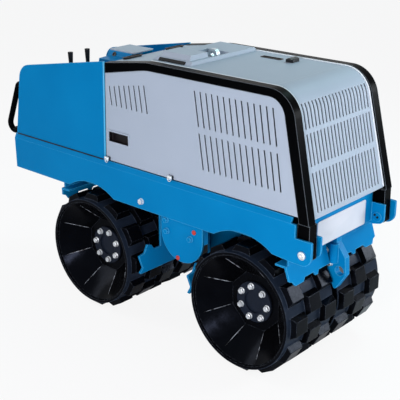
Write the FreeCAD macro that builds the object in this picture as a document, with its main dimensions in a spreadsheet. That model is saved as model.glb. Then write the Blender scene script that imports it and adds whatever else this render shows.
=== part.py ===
# Padfoot trench roller: four half-width drums on two axles, a rigid chassis
# between two side skirts, a rear control box and a hood that tilts forward
# about two pins in the front arms.
#
# Frame: +X towards the grille, +Y to the machine's left, +Z up, z = 0 on the
# ground under the pads.  Sizes are millimetres.  Outlines are drawn from the
# middle of the wheelbase, and every body is then placed mid_x along X, so
# that the origin is under the middle of the overall length.
import FreeCAD, Part
import math
import os
import Sketcher

DIMENSIONS = {
    # overall stance
    "mid_x": 169,               # from the origin to the middle of the wheelbase
    "wheelbase": 904,
    "axle_height": 280,
    # drums
    "drum_shell": 256,           # shell radius, without pads
    "drum_wall": 14,
    "drum_outer": 330,           # from the centre plane to a drum's outer rim
    "drum_inner": 18,            # from the centre plane to a drum's inner end
    "rim_depth": 8,              # straight part of the rim before the dish
    "dish_floor": 212,           # from the centre plane to the dish's floor
    "dish_web": 17,              # thickness of the dish's floor
    "dish_mouth": 238,           # radius of the dish at the rim, where it is round
    "dish_base": 132,            # corner radius at the floor, where it has eight sides
    "housing_bore": 120,
    "pad_height": 24,
    "pad_sunk": 6,               # the pad's root, below the shell's face
    "pad_root_length": 96,       # pad sizes round the drum and across it
    "pad_root_width": 92,
    "pad_tip_length": 66,
    "pad_tip_width": 74,
    "pad_count": 12,
    "pad_column": 98,            # between the middles of neighbouring columns
    "pad_first": 67,             # from the centre plane to the inner column
    # axles
    "housing_radius": 105,
    "housing_half": 188,
    "shaft_radius": 35,
    "running_gap": 0.05,         # round a pin or shaft that turns
    "hub_radius": 90,
    "hub_cap": 50,
    "leg_thickness": 16,
    "leg_width": 250,
    # chassis
    "skirt_out": 304,            # from the centre plane to the skirt's face
    "skirt_plate": 10,
    "skirt_fold": 22,            # height of the top fold, which is half as deep
    "skirt_low": 574,
    "skirt_top": 747,
    "skirt_rear": 1009,
    "skirt_front": 712,
    "arch_radius": 272,
    "arch_height": 348,          # height of the arches' centres
    "arm_reach": 790,
    "arm_top": 670,
    "pin_x": 749,                # hood pins
    "pin_z": 610,
    "pin_radius": 12,
    "floor_low": 586,
    "floor_plate": 12,
    # rear box
    "box_plate": 6,
    "box_front": 358,
    "tube_radius": 14,           # the rear handle's
    # sides of the rear box and the hood, which lean inwards
    "side_foot": 293.5,          # from the centre plane, at the guards' shoes
    "side_top": 277,             # and at the roof's height
    "shoe_top": 727,
    # hood
    "shoe_half": 288,            # from the centre plane to a shoe's outer face
    "shoe_wide": 47,
    "guard_deep": 34,            # guard bar, across its bend
    "guard_wide": 43,            # and along Y
    "hood_low": 752,
    "hood_rear": 351,
    "roof_top": 1224,
    "roof_rear": 1189,
    "guard_rear_low": 1143,      # underside of the guards' rear ends
    "roof_sunk": 3,              # the roof's sheet, below the guards' tops
    "sheet": 4,
    "panel_x": 720,              # front face of the panel under the grille
    "vent_pitch": 30.5,
    "vent_width": 8,
    "vent_lean": 0.18,           # forward for each unit down
    "grille_pitch": 22.3,
    "grille_slot": 9,
}

# Every sub-part: label -> document object.
pieces = {}

doc = FreeCAD.newDocument("trench_roller")
dims = doc.addObject("Spreadsheet::Sheet", "Dims")
for row, (alias, size) in enumerate(DIMENSIONS.items(), start=1):
    dims.set("A%d" % row, alias)
    dims.set("B%d" % row, str(size))
    dims.setAlias("B%d" % row, alias)
doc.recompute()


def size(text):
    """The value of an expression in sheet aliases, such as 'Dims.skirt_out - 5'."""
    return float(dims.evalExpression(str(text)))


def new_body(label, x="0", z="0"):
    """An empty body, placed x forward of the middle of the wheelbase and z up."""
    body = doc.addObject("PartDesign::Body", label)
    body.Label = label
    body.setExpression("Placement.Base.x", "Dims.mid_x + " + x)
    body.setExpression("Placement.Base.z", z)
    pieces[label] = body
    return body


def origin_of(body, role):
    """A plane or axis of a body's own origin."""
    return next(item for item in body.Origin.OriginFeatures if item.Role == role)


def new_sketch(body, plane, offset="0", name="Outline"):
    """A sketch on a plane of the body's origin, moved by offset along its normal."""
    sketch = body.newObject("Sketcher::SketchObject", name)
    sketch.AttachmentSupport = [(origin_of(body, plane), "")]
    sketch.MapMode = "FlatFace"
    sketch.setExpression("AttachmentOffset.Base.z", offset)
    return sketch


def bind(sketch, kind, items, text):
    """A driving constraint whose value follows an expression."""
    index = sketch.addConstraint(Sketcher.Constraint(kind, *items, size(text)))
    sketch.setExpression("Constraints[%d]" % index, text)


def locate(sketch, geometry, point, x, y):
    """Ties a point of a sketch to a place given by two expressions."""
    for kind, text in (("DistanceX", x), ("DistanceY", y)):
        bind(sketch, kind, (-1, 1, geometry, point), text)


def draw_outline(sketch, corners, closed=True):
    """An outline of straight runs.  A corner is (x, y) or, rounded, (x, y, radius)."""
    places = [FreeCAD.Vector(size(c[0]), size(c[1]), 0) for c in corners]
    count = len(corners)
    starts, ends, arcs = list(places), list(places), {}
    for i, corner in enumerate(corners):
        if len(corner) == 2:
            continue
        before = (places[i - 1] - places[i]).normalize()
        after = (places[(i + 1) % count] - places[i]).normalize()
        radius = size(corner[2])
        half = before.getAngle(after) / 2
        ends[i] = places[i] + before * (radius / math.tan(half))
        starts[i] = places[i] + after * (radius / math.tan(half))
        middle = places[i] + (before + after).normalize() * (radius / math.sin(half))
        arcs[i] = (middle, radius)
    lines = []
    for i in range(count if closed else count - 1):
        line = Part.LineSegment(starts[i], ends[(i + 1) % count])
        lines.append(sketch.addGeometry(line, False))
    for i, corner in enumerate(corners):
        if not closed and i == count - 1:
            locate(sketch, lines[-1], 2, corner[0], corner[1])
            continue
        into, out = lines[i - 1], lines[i]
        if i not in arcs:
            if closed or i > 0:
                sketch.addConstraint(Sketcher.Constraint("Coincident", into, 2, out, 1))
            locate(sketch, out, 1, corner[0], corner[1])
            continue
        middle, radius = arcs[i]
        low = math.atan2(ends[i].y - middle.y, ends[i].x - middle.x)
        high = math.atan2(starts[i].y - middle.y, starts[i].x - middle.x)
        at_into, at_out = 1, 2
        if (ends[i] - middle).cross(starts[i] - middle).z < 0:
            low, high = high, low
            at_into, at_out = 2, 1
        if high < low:
            high += 2 * math.pi
        circle = Part.Circle(middle, FreeCAD.Vector(0, 0, 1), radius)
        arc = sketch.addGeometry(Part.ArcOfCircle(circle, low, high), False)
        sketch.addConstraint(Sketcher.Constraint("Tangent", into, 2, arc, at_into))
        sketch.addConstraint(Sketcher.Constraint("Tangent", out, 1, arc, at_out))
        bind(sketch, "Radius", (arc,), corner[2])
        tip = sketch.addGeometry(Part.Point(places[i]), True)
        sketch.addConstraint(Sketcher.Constraint("PointOnObject", tip, 1, into))
        sketch.addConstraint(Sketcher.Constraint("PointOnObject", tip, 1, out))
        locate(sketch, tip, 1, corner[0], corner[1])


def draw_circle(sketch, x, y, radius):
    middle = FreeCAD.Vector(size(x), size(y), 0)
    circle = Part.Circle(middle, FreeCAD.Vector(0, 0, 1), size(radius))
    ring = sketch.addGeometry(circle, False)
    locate(sketch, ring, 3, x, y)
    bind(sketch, "Radius", (ring,), radius)


def draw_slot(sketch, x, low, high):
    """A vent slot that leans like the front of the hood, from its top at x."""
    lean = "(%s - (%s)) * Dims.vent_lean" % (high, low)
    draw_outline(sketch, [
        (x, high), (x + " + " + lean, low), (x + " + " + lean + " + Dims.vent_width", low),
        (x + " + Dims.vent_width", high)])


def draw_box(sketch, x_low, x_high, y_low, y_high):
    corners = [(x_low, y_low), (x_high, y_low), (x_high, y_high), (x_low, y_high)]
    draw_outline(sketch, corners)


def pad(body, sketch, length, name="Pad"):
    """Pads a sketch along its plane's normal."""
    feature = body.newObject("PartDesign::Pad", name)
    feature.Profile = sketch
    feature.setExpression("Length", length)
    sketch.Visibility = False
    return feature


def pocket_through(body, sketch, name="Pocket"):
    """Cuts a sketch through everything, both ways."""
    feature = body.newObject("PartDesign::Pocket", name)
    feature.Profile = sketch
    feature.SideType = "Symmetric"
    feature.Type = 1
    sketch.Visibility = False
    return feature


# Plates that stand along the machine are drawn on the XZ plane, whose normal
# is -Y: an offset of -y puts the sketch at y, and a pad grows towards -Y.
def side_plate(label, side, outer, thickness, corners, holes=()):
    """A plate along X between outer - thickness and outer from the centre
    plane, on the right (side -1) or the left (side 1)."""
    body = new_body(label)
    offset = outer + " - (" + thickness + ")" if side < 0 else "-(" + outer + ")"
    sketch = new_sketch(body, "XZ_Plane", offset)
    draw_outline(sketch, corners)
    for hole in holes:
        draw_circle(sketch, *hole)
    pad(body, sketch, thickness)
    return body


def cross_piece(label, half_width, corners):
    """A piece of constant section that spans the machine, drawn in XZ."""
    body = new_body(label)
    sketch = new_sketch(body, "XZ_Plane", "-(" + half_width + ")")
    draw_outline(sketch, corners)
    pad(body, sketch, "2 * (" + half_width + ")")
    return body


def lean(body, inset="0"):
    """Cuts off what lies outside two planes that lean inwards, an inset in
    from the outer faces of the machine's sides."""
    sketch = new_sketch(body, "YZ_Plane", "0", "Lean")
    for sign in ("", "-"):
        draw_outline(sketch, [
            (sign + "(Dims.side_foot - (" + inset + "))", "Dims.shoe_top"),
            (sign + "(Dims.side_top - (" + inset + "))", "Dims.roof_top"),
            (sign + "400", "Dims.roof_top"),
            (sign + "400", "Dims.shoe_top")])
    pocket_through(body, sketch, "LeanPocket")


SIDE_SLOPE = "(Dims.side_foot - Dims.side_top) / (Dims.roof_top - Dims.shoe_top)"


def leaning_plate(label, side, inset, thickness, corners):
    """A side plate that leans with the machine's sides, an inset in from them."""
    body = side_plate(label, side, "Dims.side_foot",
                      "Dims.side_foot - Dims.side_top + " + inset + " + " + thickness, corners)
    lean(body, inset)
    inner = new_sketch(body, "YZ_Plane", "0", "Inner")
    half_foot = "(Dims.side_foot - (" + inset + " + " + thickness + "))"
    half_top = "(Dims.side_top - (" + inset + " + " + thickness + "))"
    draw_outline(inner, [
        (half_foot, "Dims.shoe_top"), (half_top, "Dims.roof_top"),
        ("-" + half_top, "Dims.roof_top"), ("-" + half_foot, "Dims.shoe_top")])
    pocket_through(body, inner, "InnerPocket")
    return body


def flat_plate(label, z_low, thickness, corners):
    """A plate that lies flat, drawn in XY."""
    body = new_body(label)
    sketch = new_sketch(body, "XY_Plane", z_low)
    draw_outline(sketch, corners)
    pad(body, sketch, thickness)
    return body


def repeat(body, feature, sketch, axis, pitch, count, name):
    """Repeats a cut along an axis of its sketch."""
    row = body.newObject("PartDesign::LinearPattern", name)
    row.Originals = [feature]
    row.Direction = (sketch, [axis])
    row.Mode = "Spacing"
    row.Offset = size(pitch)
    row.Occurrences = count
    body.Tip = row
    return row


def standing_plate(label, rear, thickness, half_outline):
    """A plate that stands across the machine, drawn in YZ.  Its left half's
    outline runs upwards, and the right half mirrors it."""
    body = new_body(label)
    sketch = new_sketch(body, "YZ_Plane", rear)
    mirrored = [("-(" + y + ")", z) for y, z in reversed(half_outline)]
    draw_outline(sketch, half_outline + mirrored)
    pad(body, sketch, thickness)
    return body


SIDES = (("right", -1), ("left", 1))
ENDS = (("front", 1), ("rear", -1))


# ---- drums -----------------------------------------------------------------

def drum(end_name, end, side_name, side):
    """Half of a padfoot drum: a rolled shell, closed at its inner end by a ring
    plate, with three staggered columns of pads."""
    body = new_body("%s_drum_%s" % (end_name, side_name),
                    "%d * Dims.wheelbase / 2" % end, "Dims.axle_height")
    ring = new_sketch(body, "XY_Plane", "0", "RingSection")
    inner = "%d * Dims.drum_inner" % side
    plate = "%d * (Dims.drum_inner + Dims.drum_wall)" % side
    outer = "%d * Dims.drum_outer" % side
    draw_outline(ring, [
        ("Dims.housing_bore", inner),
        ("Dims.drum_shell", inner),
        ("Dims.drum_shell", outer),
        ("Dims.drum_shell - Dims.drum_wall", outer),
        ("Dims.drum_shell - Dims.drum_wall", plate),
        ("Dims.housing_bore", plate),
    ])
    wall = body.newObject("PartDesign::Revolution", "DrumWall")
    wall.Profile = ring
    wall.ReferenceAxis = (ring, ["V_Axis"])
    wall.Angle = 360

    # The pads: truncated pyramids that stand on the shell, wide along the
    # wedge's X and Z, tall along its Y.  The middle column is turned by half
    # a pitch.
    upright = FreeCAD.Rotation(FreeCAD.Vector(-1, 0, 0), FreeCAD.Vector(0, 0, 1),
                               FreeCAD.Vector(0, 1, 0), "ZXY")
    for column in range(3):
        turn = 180 / size("Dims.pad_count") if column == 1 else 0
        middle = "%d * (Dims.pad_first + %d * Dims.pad_column)" % (side, column)
        foot = body.newObject("PartDesign::AdditiveWedge", "PadColumn%d" % (column + 1))
        foot.Placement = FreeCAD.Placement(
            FreeCAD.Vector(), FreeCAD.Rotation(FreeCAD.Vector(0, 1, 0), turn) * upright)
        for edge, text in (
                ("Ymin", "Dims.drum_shell - Dims.pad_sunk"),
                ("Ymax", "Dims.drum_shell + Dims.pad_height"),
                ("Xmin", "-Dims.pad_root_length / 2"), ("Xmax", "Dims.pad_root_length / 2"),
                ("X2min", "-Dims.pad_tip_length / 2"), ("X2max", "Dims.pad_tip_length / 2"),
                ("Zmin", middle + " - Dims.pad_root_width / 2"),
                ("Zmax", middle + " + Dims.pad_root_width / 2"),
                ("Z2min", middle + " - Dims.pad_tip_width / 2"),
                ("Z2max", middle + " + Dims.pad_tip_width / 2")):
            foot.setExpression(edge, text)
        around = body.newObject("PartDesign::PolarPattern", "PadRing%d" % (column + 1))
        around.Originals = [foot]
        around.Axis = (origin_of(body, "Y_Axis"), [""])
        around.Angle = 360
        around.setExpression("Occurrences", "Dims.pad_count")
        body.Tip = around


def dish(end_name, end, side_name, side):
    """The dish that closes a half drum's outer end.  It is round at the mouth
    and narrows to eight sides round the floor, so that eight creases run out
    from the floor and fade towards the rim."""
    body = new_body("%s_dish_%s" % (end_name, side_name),
                    "%d * Dims.wheelbase / 2" % end, "Dims.axle_height")
    mouth = "%d * (Dims.drum_outer - Dims.rim_depth)" % side
    floor = "%d * Dims.dish_floor" % side
    web = "%d * (Dims.dish_floor - Dims.dish_web)" % side
    ring = new_sketch(body, "XY_Plane", "0", "RingSection")
    draw_outline(ring, [
        ("Dims.shaft_radius + 1", web),
        ("Dims.drum_shell - Dims.drum_wall", web),
        ("Dims.drum_shell - Dims.drum_wall", mouth),
        ("Dims.shaft_radius + 1", mouth),
    ])
    blank = body.newObject("PartDesign::Revolution", "Blank")
    blank.Profile = ring
    blank.ReferenceAxis = (ring, ["V_Axis"])
    blank.Angle = 360
    round_mouth = new_sketch(body, "XZ_Plane", "-(" + mouth + ")", "Mouth")
    draw_circle(round_mouth, "0", "0", "Dims.dish_mouth")
    octagon = new_sketch(body, "XZ_Plane", "-(" + floor + ")", "Floor")
    corners = []
    for k in range(8):
        angle = "%.1f deg" % (22.5 + 45 * k)
        corners.append(("Dims.dish_base * cos(" + angle + ")",
                        "Dims.dish_base * sin(" + angle + ")"))
    draw_outline(octagon, corners)
    hollow = body.newObject("PartDesign::SubtractiveLoft", "Hollow")
    hollow.Profile = round_mouth
    hollow.Sections = [octagon]
    hollow.Ruled = True


def hub(end_name, end, side_name, side):
    """The wheel motor's flange on the dish's floor, hollow in the middle, and
    the shaft behind it."""
    body = new_body("%s_hub_%s" % (end_name, side_name),
                    "%d * Dims.wheelbase / 2" % end, "Dims.axle_height")
    section = new_sketch(body, "XY_Plane", "0", "HubSection")
    inner = "%d * (Dims.housing_half - 40)" % side
    floor = "%d * Dims.dish_floor" % side
    face = "%d * (Dims.dish_floor + 10)" % side
    cap = "%d * (Dims.dish_floor + 1)" % side
    draw_outline(section, [
        ("0", inner), ("Dims.shaft_radius", inner), ("Dims.shaft_radius", floor),
        ("Dims.hub_radius", floor), ("Dims.hub_radius", face),
        ("Dims.hub_cap", face), ("Dims.hub_cap", cap), ("0", cap),
    ])
    turned = body.newObject("PartDesign::Revolution", "Hub")
    turned.Profile = section
    turned.ReferenceAxis = (section, ["V_Axis"])
    turned.Angle = 360
    return body


def drum_leg(end_name, end):
    """The leg that comes down between two half drums, with the axle housing
    that holds both wheel motors."""
    body = new_body("%s_drum_leg" % end_name, "%d * Dims.wheelbase / 2" % end)
    web = new_sketch(body, "XZ_Plane", "-Dims.leg_thickness / 2", "Web")
    half = "Dims.leg_width / 2"
    low = "Dims.axle_height - " + half
    draw_outline(web, [
        ("-" + half, "Dims.floor_low"), ("-" + half, low, half + " - 1"),
        (half, low, half + " - 1"), (half, "Dims.floor_low"),
    ])
    pad(body, web, "Dims.leg_thickness")
    housing = new_sketch(body, "XZ_Plane", "-Dims.housing_half", "Housing")
    draw_circle(housing, "0", "Dims.axle_height", "Dims.housing_radius")
    pad(body, housing, "2 * Dims.housing_half", "HousingPad")
    socket = new_sketch(body, "XZ_Plane", "0", "ShaftSocket")
    draw_circle(socket, "0", "Dims.axle_height", "Dims.shaft_radius + Dims.running_gap")
    pocket_through(body, socket, "ShaftBore")
    return body


for end_name, end in ENDS:
    for side_name, side in SIDES:
        drum(end_name, end, side_name, side)
        dish(end_name, end, side_name, side)
        hub(end_name, end, side_name, side)
    drum_leg(end_name, end)


# ---- chassis ---------------------------------------------------------------

PIN_HOLE = ("Dims.pin_x", "Dims.pin_z", "Dims.pin_radius + Dims.running_gap")


def side_skirt(side_name, side):
    """A folded side plate with an arch over each drum and the arm that holds
    the hood's pin.  Its top edge leans inwards and carries the rear box."""
    body = new_body("side_skirt_" + side_name)
    section = new_sketch(body, "YZ_Plane", "-Dims.skirt_rear", "Section")
    y = "%d * (Dims.skirt_out" % side
    draw_outline(section, [
        (y + ")", "Dims.skirt_low"),
        (y + ")", "Dims.skirt_top - Dims.skirt_fold"),
        (y + " - Dims.skirt_fold / 2)", "Dims.skirt_top"),
        (y + " - Dims.skirt_fold / 2 - Dims.skirt_plate)", "Dims.skirt_top"),
        (y + " - Dims.skirt_plate)", "Dims.skirt_top - Dims.skirt_fold - 2"),
        (y + " - Dims.skirt_plate)", "Dims.skirt_low"),
    ])
    pad(body, section, "Dims.skirt_rear + Dims.skirt_front - 22", "FoldedPlate")
    outer = "Dims.skirt_out - Dims.skirt_plate" if side < 0 else "-Dims.skirt_out"
    arm = new_sketch(body, "XZ_Plane", outer, "Arm")
    draw_outline(arm, [
        ("600", "Dims.skirt_low"),
        ("Dims.skirt_front - 2", "Dims.skirt_low - 8", "60"),
        ("Dims.arm_reach", "Dims.skirt_low - 8", "44"),
        ("Dims.arm_reach", "Dims.arm_top", "6"),
        ("Dims.skirt_front", "Dims.arm_top"),
        ("Dims.skirt_front", "Dims.skirt_top - Dims.skirt_fold"),
        ("600", "Dims.skirt_top - Dims.skirt_fold"),
    ])
    draw_circle(arm, *PIN_HOLE)
    pad(body, arm, "Dims.skirt_plate", "ArmPlate")
    arches = new_sketch(body, "XZ_Plane", "0", "Arches")
    for end_name, end in ENDS:
        draw_circle(arches, "%d * Dims.wheelbase / 2" % end, "Dims.arch_height", "Dims.arch_radius")
    pocket_through(body, arches, "ArchPocket")
    return body


for side_name, side in SIDES:
    side_skirt(side_name, side)

# Half discs that hang between the drums, inside the skirts.
plates = new_body("side_guard_plates")
for side_name, side in SIDES:
    outline = new_sketch(plates, "XZ_Plane", "284" if side < 0 else "-294", "Plate_" + side_name)
    draw_outline(outline, [
        ("-10", "Dims.floor_low"), ("-10", "385", "119"), ("230", "385", "119"),
        ("230", "Dims.floor_low"),
    ])
    pad(plates, outline, "10", "Pad_" + side_name)

# The floor is cut in where the arches open the skirts over the drums.
floor_edge = [("-1001", "294")]
for end in (-1, 1):
    axle = "%d * Dims.wheelbase / 2" % end
    for x, y in ((" - 142", "294"), (" - 142", "250"), (" + 142", "250"), (" + 142", "294")):
        floor_edge.append((axle + x, y))
floor_edge.append(("680", "294"))
flat_plate("chassis_floor", "Dims.floor_low", "Dims.floor_plate",
           floor_edge + [(x, "-" + y) for x, y in reversed(floor_edge)])

standing_plate("rear_cross_plate", "-1009", "8", [
    ("293", "Dims.skirt_low"), ("293", "720"), ("281", "744"), ("281", "Dims.skirt_top")])

panel = cross_piece("front_panel", "222", [
    ("680", "Dims.floor_low"), ("Dims.panel_x", "Dims.floor_low"), ("Dims.panel_x", "726"),
    ("Dims.panel_x - 8", "726"), ("Dims.panel_x - 8", "594"), ("680", "594")])
for side_name, side in SIDES:
    cheek = new_sketch(panel, "XZ_Plane", "222" if side < 0 else "-230", "Cheek_" + side_name)
    draw_outline(cheek, [
        ("690", "Dims.skirt_low"), ("730", "Dims.skirt_low"), ("Dims.arm_reach - 8", "585", "30"),
        ("Dims.arm_reach - 8", "Dims.arm_top"), ("690", "Dims.arm_top")])
    draw_circle(cheek, *PIN_HOLE)
    pad(panel, cheek, "8", "CheekPad_" + side_name)


# ---- scrapers and front lug ------------------------------------------------

# Each is a toothed blade across both half drums, on stays from the floor.  The
# front blade leans over its drum, and the rear one stands upright behind it.
BLADES = {
    "front": [(170, "532"), (216, "532"), (243, "454"), (251, "457"), (224, "540"), (170, "540")],
    "rear": [(160, "536"), (204, "536"), (204, "481"), (212, "481"), (212, "544"), (160, "544")],
}
STAYS = {"front": (216, 224), "rear": (204, 212)}
TOOTH_ROOT = {"front": 471, "rear": 500}
GAP_HALF = {"front": 38, "rear": 17}     # the front blades stop beside the tow lug's boss
for end_name, end in ENDS:
    axle = "%d * Dims.wheelbase / 2" % end
    scraper = new_body(end_name + "_scraper")
    near, far = STAYS[end_name]
    for side_name, side in SIDES:
        inner = GAP_HALF[end_name]
        section = new_sketch(scraper, "XZ_Plane", "%d" % inner if side < 0 else "-306",
                             "Section_" + side_name)
        draw_outline(section, [(axle + " + %d" % (end * x), z) for x, z in BLADES[end_name]])
        pad(scraper, section, "%d" % (306 - inner), "Blade_" + side_name)
        stay = new_sketch(scraper, "XZ_Plane", "%d" % inner if side < 0 else "-290",
                          "Stay_" + side_name)
        draw_outline(stay, [(axle + " + %d" % (end * x), z) for x, z in (
            (near, "540"), (far, "540"), (far, "Dims.floor_low"), (near, "Dims.floor_low"))])
        pad(scraper, stay, "%d" % (290 - inner), "StayPad_" + side_name)
    root = TOOTH_ROOT[end_name]
    teeth = new_sketch(scraper, "YZ_Plane", "0", "Teeth")
    for side_name, side in SIDES:
        draw_outline(teeth, [("%d" % (side * y), "%d" % (root + z)) for y, z in (
            (10, 0), (116, 0), (132, -21), (139, -21), (150, 0), (209, 0), (238, -31),
            (10, -31))])
        draw_outline(teeth, [("%d" % (side * y), "%d" % (root + z)) for y, z in (
            (264, -31), (288, 3), (310, 11), (310, -31))])
    pocket_through(scraper, teeth, "TeethPocket")

# A plate hangs in front of each drum's inner face, with lobes at its ends.
lobes = [("307", "248", "5"), ("282", "272", "8"), ("305", "336", "5"), ("270", "342", "8"),
         ("250", "378", "5"), ("226", "370", "5"), ("208", "345", "8"), ("165", "345"),
         ("165", "Dims.floor_low")]
inner_scrapers = new_body("inner_scrapers")
for end_name, end in ENDS:
    outline = new_sketch(inner_scrapers, "YZ_Plane", "%d - 5" % (end * 150), "Outline_" + end_name)
    draw_outline(outline, lobes + [("-" + c[0],) + c[1:] for c in reversed(lobes)])
    pad(inner_scrapers, outline, "10", "Plate_" + end_name)

body = cross_piece("tow_lug", "15", [
    ("680", "Dims.floor_low"), ("642", "546"), ("633", "511"), ("668", "455"), ("672", "429"),
    ("709", "344", "8"), ("760", "424", "8"), ("755", "501"), ("712", "560"),
    ("712", "Dims.floor_low")])
boss = new_sketch(body, "XY_Plane", "471", "Boss")
draw_circle(boss, "702", "-17", "19")
pad(body, boss, "84", "BossPad")
eye = new_sketch(body, "XZ_Plane", "0", "Eye")
draw_circle(eye, "730", "438", "21")
pocket_through(body, eye, "EyeBore")


# ---- rear box --------------------------------------------------------------

for side_name, side in SIDES:
    leaning_plate("rear_box_side_" + side_name, side, "0", "Dims.box_plate", [
        ("-1001", "Dims.skirt_top"), ("-Dims.box_front", "Dims.skirt_top"),
        ("-Dims.box_front", "1193"),
        ("-955", "1090", "80")])

back = cross_piece("rear_box_back", "Dims.side_foot", [
    ("-1001", "Dims.skirt_top"), ("-995", "Dims.skirt_top"), ("-966", "1000"), ("-972", "1000")])
lean(back, "Dims.box_plate")
deck = cross_piece("control_deck", "Dims.side_foot", [
    ("-971", "1001"), ("-380", "1126"), ("-380", "1132"), ("-971", "1007")])
lean(deck, "Dims.box_plate")
gates = new_sketch(deck, "XY_Plane", "0", "LeverGates")
for middle in (-54, 54):
    draw_box(gates, "-885", "-811", "%d" % (middle - 10), "%d" % (middle + 10))
pocket_through(deck, gates, "GatePocket")
wall = standing_plate("bulkhead", "-380", "6", [
    ("281", "598"), ("281", "Dims.skirt_top"), ("287", "Dims.skirt_top"), ("287", "1150")])
lean(wall, "Dims.box_plate")

console = new_body("control_console")
section = new_sketch(console, "YZ_Plane", "-530", "Section")
draw_outline(section, [
    ("-170", "1060"), ("-150", "1163"), ("-107", "1165"), ("-93", "1172"), ("-84", "1191"),
    ("45", "1191"), ("62", "1060")])
pad(console, section, "150")
under = new_sketch(console, "XZ_Plane", "0", "Underside")
draw_outline(under, [("-971", "1007"), ("-971", "900"), ("-380", "900"), ("-380", "1132")])
pocket_through(console, under, "UndersidePocket")
hole = new_sketch(console, "XZ_Plane", "170", "SocketHole")
draw_circle(hole, "-490", "1176", "8")
cut = console.newObject("PartDesign::Pocket", "SocketPocket")
cut.Profile = hole
cut.Length = 100

flat_plate("console_lid", "1191", "6", [
    ("-528", "-82"), ("-374", "-82"), ("-374", "43"), ("-528", "43")])

levers = new_body("drive_levers")
shaft = new_sketch(levers, "XZ_Plane", "-Dims.side_foot", "LeverShaft")
draw_circle(shaft, "-848", "985", "10")
pad(levers, shaft, "2 * Dims.side_foot", "ShaftPad")
lean(levers, "Dims.box_plate")
for place in ("-54", "54"):
    stem = new_sketch(levers, "XY_Plane", "985", "Stem")
    draw_circle(stem, "-848", place, "7")
    pad(levers, stem, "90", "StemPad")
    ends = []
    for name, height, radius in (("Foot", "1060", "9"), ("Head", "1132", "13")):
        ring = new_sketch(levers, "XY_Plane", height, "Grip" + name)
        draw_circle(ring, "-848", place, radius)
        ends.append(ring)
    grip = levers.newObject("PartDesign::AdditiveLoft", "Grip")
    grip.Profile = ends[0]
    grip.Sections = [ends[1]]

# One bent tube: on each side a stub from the box's back, a bend, a run down
# and backwards, a wider bend and a stub to the cross plate.
handle = new_body("rear_handle")
SLOPE = 66.4                    # the run's, in degrees below the horizontal
UPPER_X, UPPER_Z, UPPER_RADIUS = -1004.3, 961, 24
LOWER_Z, LOWER_RADIUS = 772, 34
down = math.sin(math.radians(SLOPE))
along = math.cos(math.radians(SLOPE))
wider = LOWER_RADIUS - UPPER_RADIUS
run_length = (UPPER_Z - LOWER_Z - wider * along) / down
LOWER_X = UPPER_X + wider * down - run_length * along
UPPER = (UPPER_X, UPPER_Z, UPPER_RADIUS)     # each bend's centre, and the tube above
LOWER = (LOWER_X, LOWER_Z, -LOWER_RADIUS)    # or below it


def tube_rings(bend, name, turned=0):
    """Both tubes' sections in a plane through a bend's centre, turned about it."""
    x, z, above = bend
    sketch = new_sketch(handle, "YZ_Plane", "%.6f" % x, name)
    turn = FreeCAD.Rotation(FreeCAD.Vector(1, 0, 0), turned)
    sketch.AttachmentOffset = FreeCAD.Placement(FreeCAD.Vector(0, z, 0), turn)
    for y in ("-248", "248"):
        draw_circle(sketch, y, "%d" % above, "Dims.tube_radius")
    return sketch


def tube_bend(bend, angle, reverse, name):
    rings = tube_rings(bend, name + "Rings")
    turned = handle.newObject("PartDesign::Revolution", name)
    turned.Profile = rings
    turned.ReferenceAxis = (rings, ["H_Axis"])
    turned.Angle = angle
    turned.Reversed = reverse


tube_bend(UPPER, SLOPE, True, "UpperBend")
run = pad(handle, tube_rings(UPPER, "RunRings", -SLOPE), "%.6f" % run_length, "Run")
run.Reversed = True
tube_bend(LOWER, 180 - SLOPE, False, "LowerBend")
pad(handle, tube_rings(UPPER, "UpperStubRings"), "28.8", "UpperStub")
pad(handle, tube_rings(LOWER, "LowerStubRings"), "%.6f" % (-1009 - LOWER_X), "LowerStub")
bar = new_sketch(handle, "XZ_Plane", "-248", "Bar")
draw_circle(bar, "-1086", "738", "Dims.tube_radius")
pad(handle, bar, "496", "BarPad")


# ---- engine and lifting frame ----------------------------------------------

cross_piece("engine_block", "190", [
    ("60", "598"), ("520", "598"), ("520", "1040"), ("60", "1040")])

lifting = cross_piece("lifting_frame", "225", [
    ("8", "1128"), ("58", "1128"), ("58", "1168"), ("8", "1168")])
for side_name, side in SIDES:
    foot = new_sketch(lifting, "XY_Plane", "598", "Post_" + side_name)
    draw_box(foot, "8", "58", "%d * 215 - 10" % side, "%d * 215 + 10" % side)
    pad(lifting, foot, "531", "PostPad_" + side_name)
plate = new_sketch(lifting, "XZ_Plane", "-10", "EyePlate")
draw_outline(plate, [("6", "1166"), ("66", "1166"), ("58", "1258", "20"), ("14", "1258", "20")])
pad(lifting, plate, "20", "EyePlatePad")
bore = new_sketch(lifting, "XZ_Plane", "0", "EyeBore")
draw_circle(bore, "36", "1236", "11")
pocket_through(lifting, bore, "EyeBorePocket")

pins = new_body("hood_pins")
for side_name, side in SIDES:
    start = "223" if side < 0 else "-311"
    shank = new_sketch(pins, "XZ_Plane", start, "Pin_" + side_name)
    draw_circle(shank, "Dims.pin_x", "Dims.pin_z", "Dims.pin_radius")
    pad(pins, shank, "88", "PinPad")
    head = new_sketch(pins, "XZ_Plane", "305" if side < 0 else "-311", "Head_" + side_name)
    draw_circle(head, "Dims.pin_x", "Dims.pin_z", "Dims.pin_radius + 5")
    pad(pins, head, "6", "HeadPad_" + side_name)


# ---- hood ------------------------------------------------------------------

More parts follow.
